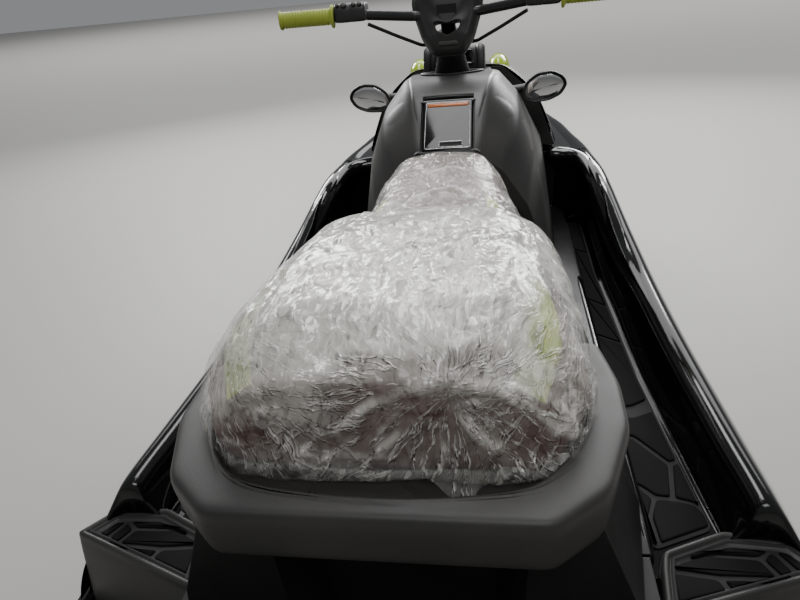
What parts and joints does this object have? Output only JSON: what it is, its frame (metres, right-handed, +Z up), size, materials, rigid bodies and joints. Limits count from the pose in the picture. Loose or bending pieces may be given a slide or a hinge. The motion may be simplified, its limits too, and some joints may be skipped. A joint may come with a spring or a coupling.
{
  "type": "personal watercraft",
  "caption": "Sit-down personal watercraft with jet pump, reverse bucket, handlebar steering, footwells, boarding platform and a saddle in loose clear film.",
  "frame": {"origin": "on the centreline at the waterline, amidships", "axes": "+Y to the bow, +X to starboard, +Z up"},
  "size_m": [1.11, 3.14, 1.1425],
  "materials": {
    "gelcoat_black": "high gloss",
    "plastic_grey": "fine grained",
    "plastic_black": "satin",
    "plastic_gloss": "gloss",
    "rubber_black": "matte",
    "rubber_lime": "matte",
    "mat_black": "textured",
    "vinyl_dark": "satin",
    "film_clear": "clear crinkled",
    "aluminium_cast": "cast, painted",
    "stainless": "brushed",
    "steel_black": "satin",
    "mirror_glass": "mirror",
    "engine_grey": "cast"
  },
  "bodies": {
    "craft": {"hull": "gelcoat_black", "deck": "gelcoat_black", "engine": "engine_grey", "rub_rail": "rubber_black", "bow_bumper": "rubber_black", "sponsons": "plastic_black", "tow_eyes": "stainless", "intake_grate": "aluminium_cast", "ride_plate": "aluminium_cast", "platform": "plastic_grey", "platform_mat": "mat_black", "stern_corner_right": "plastic_grey", "stern_corner_left": "plastic_grey", "stern_mat_right": "mat_black", "stern_mat_left": "mat_black", "footwell_mat_right": "mat_black", "footwell_mat_left": "mat_black", "seat_pedestal": "plastic_grey", "grab_handle": "plastic_grey", "driver_seat": "vinyl_dark", "passenger_seat": "vinyl_dark", "seat_wrap": "film_clear", "console": "plastic_grey", "instrument_pod": "plastic_black", "mirror_right": "plastic_black", "mirror_left": "plastic_black", "mirror_glass_right": "mirror_glass", "mirror_glass_left": "mirror_glass", "hood_hinge": "stainless", "pump_housing": "aluminium_cast"},
    "steering": {"steering_column": "rubber_black", "handlebar": "steel_black", "bar_pad": "plastic_black", "grip_right": "rubber_lime", "grip_left": "rubber_lime", "switch_right": "plastic_black", "switch_left": "plastic_black", "control_cable_right": "rubber_black", "control_cable_left": "rubber_black"},
    "jet_nozzle": {"steering_nozzle": "aluminium_cast"},
    "bucket": {"reverse_bucket": "aluminium_cast"},
    "impeller_shaft": {"impeller": "stainless"},
    "storage_hood": {"hood": "plastic_grey"},
    "glovebox": {"glovebox_lid": "plastic_gloss"}
  },
  "joints": [
    {"name": "steering_turn", "type": "hinge", "parent": "craft", "child": "steering", "pos_m": [0, 0.128, 0.69], "axis": [0, -0.4226, 0.9063], "range_deg": [-24, 24]},
    {"name": "nozzle_turn", "type": "hinge", "parent": "craft", "child": "jet_nozzle", "pos_m": [0, -1.158, -0.115], "axis": [0, 0, 1], "range_deg": [-20, 20]},
    {"name": "bucket_swing", "type": "hinge", "parent": "craft", "child": "bucket", "pos_m": [0, -1.114, -0.115], "axis": [1, 0, 0], "range_deg": [0, 65]},
    {"name": "impeller_spin", "type": "hinge", "parent": "craft", "child": "impeller_shaft", "pos_m": [0, -0.98, -0.115], "axis": [0, 1, 0], "continuous": true},
    {"name": "hood_lift", "type": "hinge", "parent": "craft", "child": "storage_hood", "pos_m": [0, 1.456, 0.394], "axis": [-1, 0, 0], "range_deg": [0, 55]},
    {"name": "glovebox_lift", "type": "hinge", "parent": "craft", "child": "glovebox", "pos_m": [0, -0.04143, 0.65882], "axis": [-1, 0, 0], "range_deg": [0, 55]}
  ],
  "couplings": [
    {"joint": "nozzle_turn", "follows": "steering_turn", "ratio": -0.8333}
  ]
}
